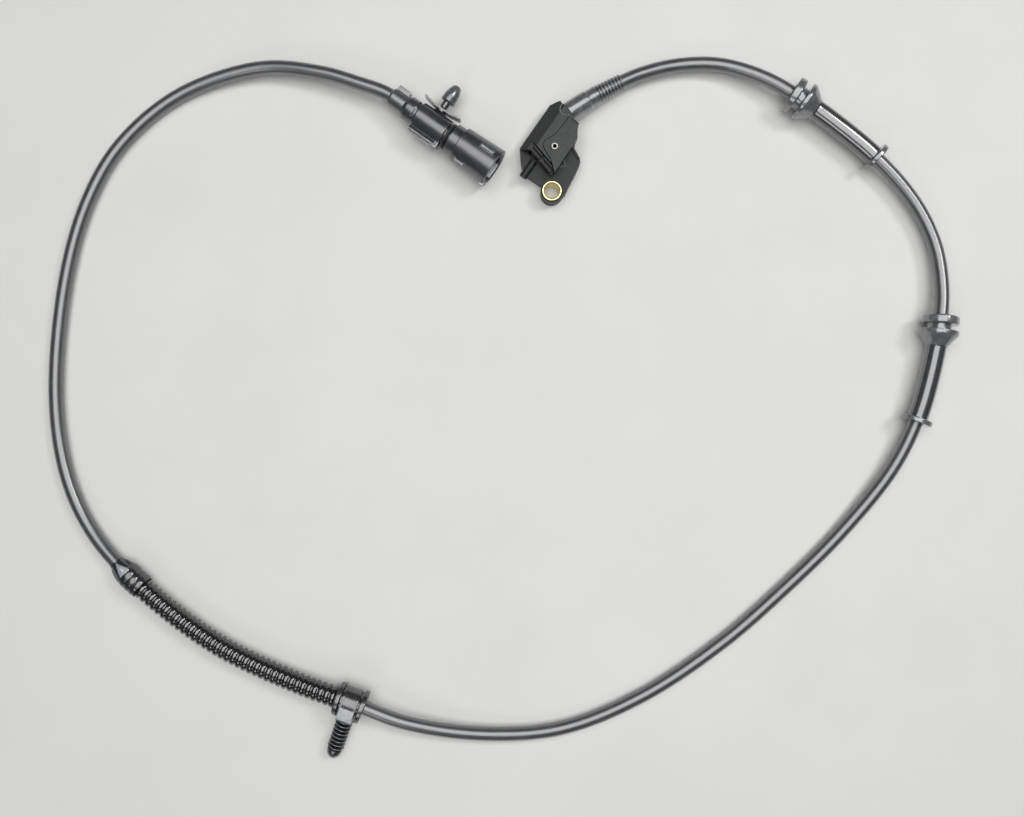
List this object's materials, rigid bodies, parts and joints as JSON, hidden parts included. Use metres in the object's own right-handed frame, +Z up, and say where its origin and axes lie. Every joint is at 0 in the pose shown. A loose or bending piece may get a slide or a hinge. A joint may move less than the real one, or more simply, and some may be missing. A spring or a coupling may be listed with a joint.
{
  "type": "abs wheel speed sensor",
  "caption": "Wheel speed sensor: moulded head with a bolt bush, a rubber cable with grommets, conduit and clips, and a round connector.",
  "frame": {"origin": "centre of the sensor head's box, on the surface that the part lies on", "axes": "+X along the head towards its cable, +Z up from the surface, the connector's mouth faces -Y"},
  "size_m": [0.3543, 0.3577, 0.0177],
  "materials": {
    "head_plastic": "moulded, matt",
    "bush_brass": "turned, bright",
    "eyelet_metal": "rolled, dull",
    "terminal_metal": "tinned",
    "magnet": "sintered",
    "carrier_plastic": "moulded",
    "cable_rubber": "extruded, satin",
    "gloss_rubber": "moulded, smooth",
    "conduit_plastic": "corrugated, glossy",
    "tape": "stretched, glossy",
    "clip_plastic": "moulded, satin",
    "connector_plastic": "moulded, satin",
    "seal_rubber": "moulded",
    "core_black": "extruded",
    "core_white": "extruded"
  },
  "bodies": {
    "root": {"sensor_housing": "head_plastic", "housing_cover": "head_plastic", "cover_eyelet": "eyelet_metal", "bolt_bushing": "bush_brass", "element_holder": "carrier_plastic", "bias_magnet": "magnet", "sensor_element": "carrier_plastic", "lead_a": "terminal_metal", "lead_b": "terminal_metal", "head_core_a": "core_black", "head_core_b": "core_white", "strain_relief_boot": "gloss_rubber", "cable": "cable_rubber", "grommet_upper": "gloss_rubber", "grommet_lower": "gloss_rubber", "conduit_end_collar": "clip_plastic", "fir_tree_clip": "clip_plastic", "conduit": "conduit_plastic", "conduit_tape": "tape", "connector_rear_boot": "gloss_rubber", "connector_collar": "connector_plastic", "connector_body": "connector_plastic", "connector_seal_ring": "seal_rubber", "terminal_pin_a": "terminal_metal", "terminal_pin_b": "terminal_metal", "wire_seal_a": "seal_rubber", "wire_seal_b": "seal_rubber", "connector_core_a": "core_black", "connector_core_b": "core_white", "pin_retainer": "connector_plastic", "connector_clip": "clip_plastic"}
  },
  "joints": []
}
